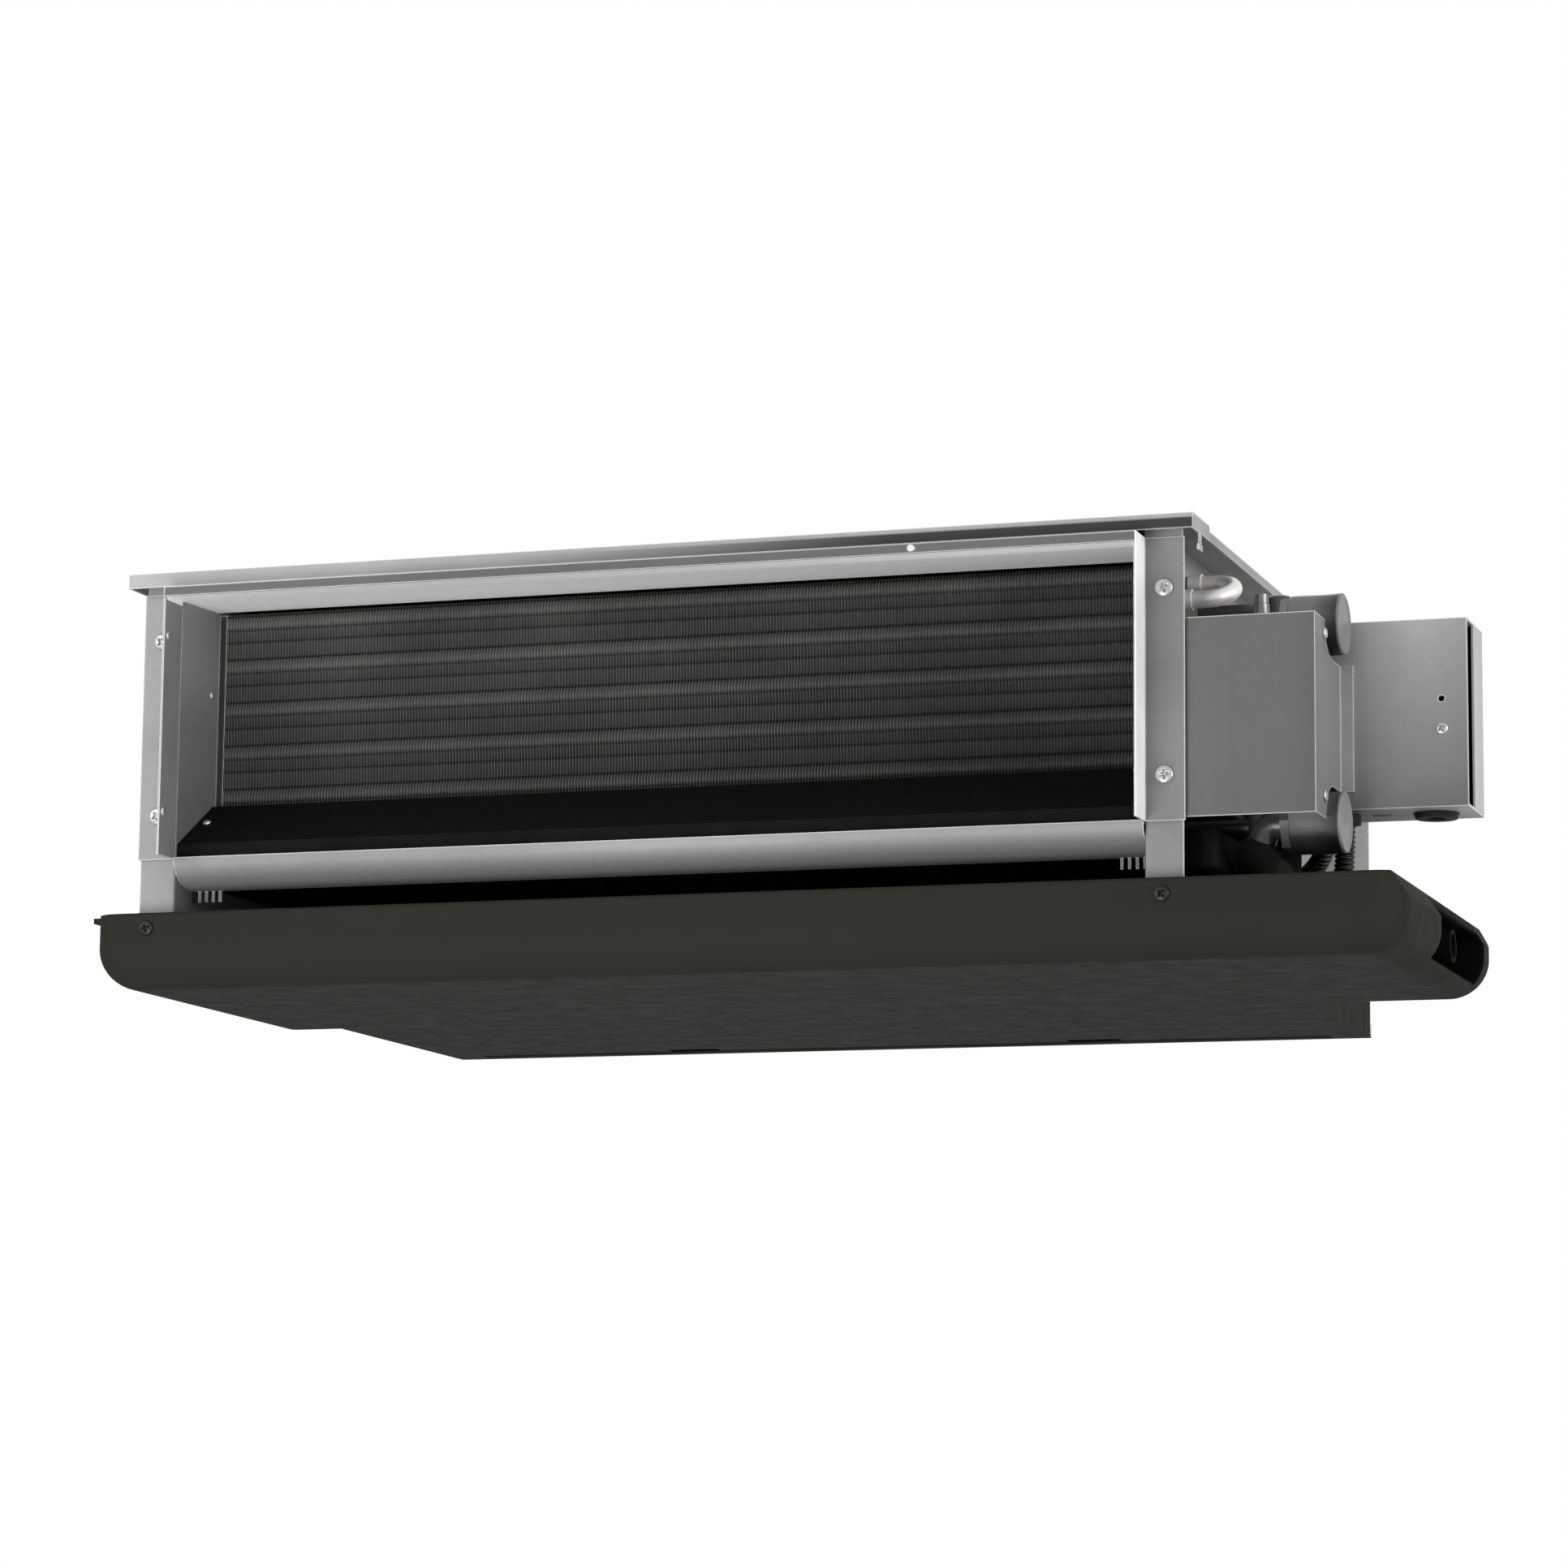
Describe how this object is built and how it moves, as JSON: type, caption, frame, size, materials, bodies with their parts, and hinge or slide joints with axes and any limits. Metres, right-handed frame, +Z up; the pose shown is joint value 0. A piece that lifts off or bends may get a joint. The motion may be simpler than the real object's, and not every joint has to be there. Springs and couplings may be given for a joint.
{
  "type": "fan coil unit",
  "caption": "Ceiling-hung concealed fan coil unit: finned coil behind a collared outlet, twin blower, slide-out filter, side water connections, electrical box and drain tray.",
  "frame": {"origin": "middle of the four hanger slots, on the outer face of the top panel", "axes": "+X to the water and electrical side, -Y out of the air outlet, +Z up"},
  "size_m": [0.769, 0.5041, 0.234],
  "materials": {
    "galvanised": "satin",
    "charcoal_paint": "satin",
    "black_plastic": "matt",
    "tray_plastic": "satin",
    "fin_aluminium": "dull",
    "copper": "dull",
    "brass": "satin",
    "cap_plastic": "satin",
    "screw_steel": "bright",
    "black_rubber": "matt",
    "grey_plastic": "matt",
    "wheel_plastic": "matt",
    "filter_cloth": "matt",
    "motor_steel": "satin",
    "shaft_steel": "bright",
    "foam": "matt"
  },
  "bodies": {
    "casing": {"top_panel": "galvanised", "side_panel_left": "galvanised", "side_panel_right": "galvanised", "bottom_panel": "charcoal_paint", "fan_cover": "charcoal_paint", "fan_deck": "galvanised", "outlet_frame": "galvanised", "frame_screws": "screw_steel", "rivets": "screw_steel", "front_crossbar": "galvanised", "inner_drain_pan": "black_plastic", "drip_bowl": "black_plastic", "coil_fin_pack": "fin_aluminium", "coil_plate_left": "galvanised", "coil_plate_right": "galvanised", "hairpin_tubes": "copper", "return_bends": "copper", "outlet_header": "copper", "inlet_header": "copper", "pipe_foam": "foam", "water_unions": "brass", "vent_body": "brass", "drain_tray": "tray_plastic", "tray_screws": "charcoal_paint", "drain_spigot": "black_plastic", "pipe_cover": "galvanised", "cover_screws": "screw_steel", "electrical_box": "galvanised", "box_lid": "galvanised", "lid_screw": "screw_steel", "box_insert_panel": "black_plastic", "box_bracket": "galvanised", "cable_grommet": "black_rubber", "terminal_block": "grey_plastic", "capacitor": "grey_plastic", "conduit_motor": "black_rubber", "conduit_sensor": "black_rubber", "conduit_glands": "black_plastic", "web_bushings": "black_plastic", "scroll_left": "galvanised", "scroll_right": "galvanised", "motor": "motor_steel", "motor_rings": "black_rubber", "motor_cradle": "galvanised", "filter_rail_left": "galvanised", "filter_rail_right": "galvanised", "top_foam": "foam"},
    "rotor": {"fan_shaft": "shaft_steel", "wheel_left": "wheel_plastic", "wheel_right": "wheel_plastic"},
    "filter": {"filter_frame": "wheel_plastic", "filter_media": "filter_cloth"},
    "upper_cap": {"cap_upper": "cap_plastic"},
    "lower_cap": {"cap_lower": "cap_plastic"},
    "bleed_screw": {"vent_screw": "brass"}
  },
  "joints": [
    {"name": "fan_spin", "type": "hinge", "parent": "casing", "child": "rotor", "pos_m": [0, 0.1, -0.113], "axis": [1, 0, 0], "continuous": true},
    {"name": "filter_slide", "type": "slide", "parent": "casing", "child": "filter", "axis": [0, 0, -1], "range_m": [0, 0.19]},
    {"name": "cap_upper_pull", "type": "slide", "parent": "casing", "child": "upper_cap", "axis": [1, 0, 0], "range_m": [0, 0.05]},
    {"name": "cap_lower_pull", "type": "slide", "parent": "casing", "child": "lower_cap", "axis": [1, 0, 0], "range_m": [0, 0.05]},
    {"name": "bleed_turn", "type": "hinge", "parent": "casing", "child": "bleed_screw", "pos_m": [0.328, -0.179, -0.031], "axis": [0, 0, 1], "range_deg": [0, 360]}
  ]
}
